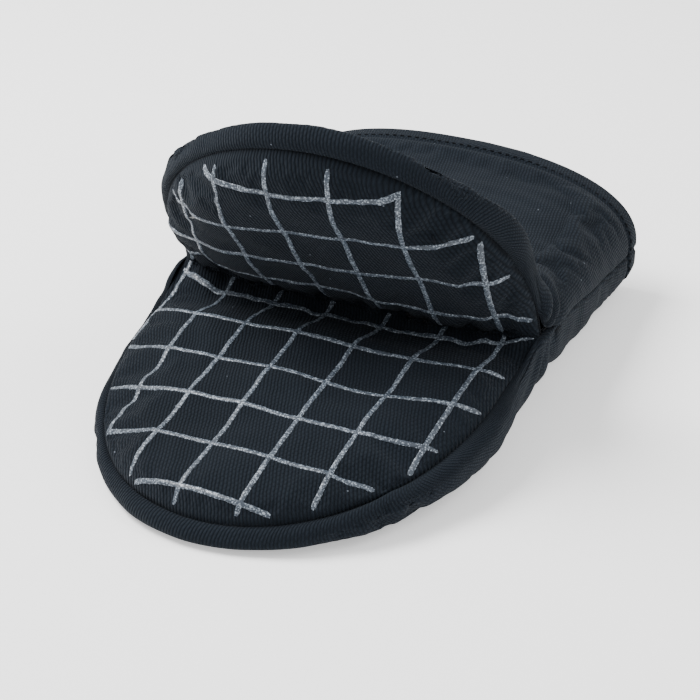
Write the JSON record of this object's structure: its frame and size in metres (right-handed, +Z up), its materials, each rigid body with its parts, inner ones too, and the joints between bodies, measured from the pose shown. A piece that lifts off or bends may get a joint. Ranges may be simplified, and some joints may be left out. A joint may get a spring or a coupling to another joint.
{
  "type": "oven mitt",
  "caption": "Short padded pinch oven mitt with a folded gripping palm, a finger lobe, a thumb lobe and an open wrist cuff.",
  "frame": {"origin": "middle of the underside's bounding box, on the table", "axes": "+Z up, -Y towards the finger tip, +Y out of the wrist opening, +X across the mitt to the right as the thumb lobe faces away"},
  "size_m": [0.144, 0.222, 0.1072],
  "materials": {
    "cover_twill": "dark navy cotton twill, matt",
    "palm_twill": "dark navy cotton twill with clear diagonal ribs, matt",
    "hem_twill": "folded dark navy twill hem, matt",
    "lining_cotton": "plain dark cotton lining, matt",
    "wadding": "off-white needled fibre wadding",
    "silicone_print": "raised printed silicone with a fine silver-grey speckle, satin",
    "thread": "dark polyester sewing thread"
  },
  "bodies": {
    "cuff": {"cuff_bottom_panel": "cover_twill", "cuff_top_panel": "cover_twill", "cuff_bottom_wadding": "wadding", "cuff_top_wadding": "wadding", "cuff_bottom_lining": "lining_cotton", "cuff_top_lining": "lining_cotton", "cuff_hem": "hem_twill", "cuff_hem_stitching": "thread", "left_side_seam": "thread", "right_side_seam": "thread", "palm_crease_fold": "palm_twill"},
    "finger_half": {"finger_back_panel": "cover_twill", "finger_palm_panel": "palm_twill", "finger_rim_seam": "thread", "finger_back_wadding": "wadding", "finger_palm_wadding": "wadding", "finger_back_lining": "lining_cotton", "finger_palm_lining": "lining_cotton", "finger_silicone_grid": "silicone_print"},
    "thumb_half": {"thumb_back_panel": "cover_twill", "thumb_palm_panel": "palm_twill", "thumb_rim_seam": "thread", "thumb_back_wadding": "wadding", "thumb_palm_wadding": "wadding", "thumb_back_lining": "lining_cotton", "thumb_palm_lining": "lining_cotton", "thumb_silicone_grid": "silicone_print"}
  },
  "joints": [
    {"name": "finger_fold", "type": "hinge", "parent": "cuff", "child": "finger_half", "pos_m": [0, 0, 0.014], "axis": [-1, 0, 0], "range_deg": [0, 12]},
    {"name": "thumb_fold", "type": "hinge", "parent": "cuff", "child": "thumb_half", "pos_m": [0, 0.008, 0.03947], "axis": [1, 0, 0], "range_deg": [-30, 25]}
  ]
}
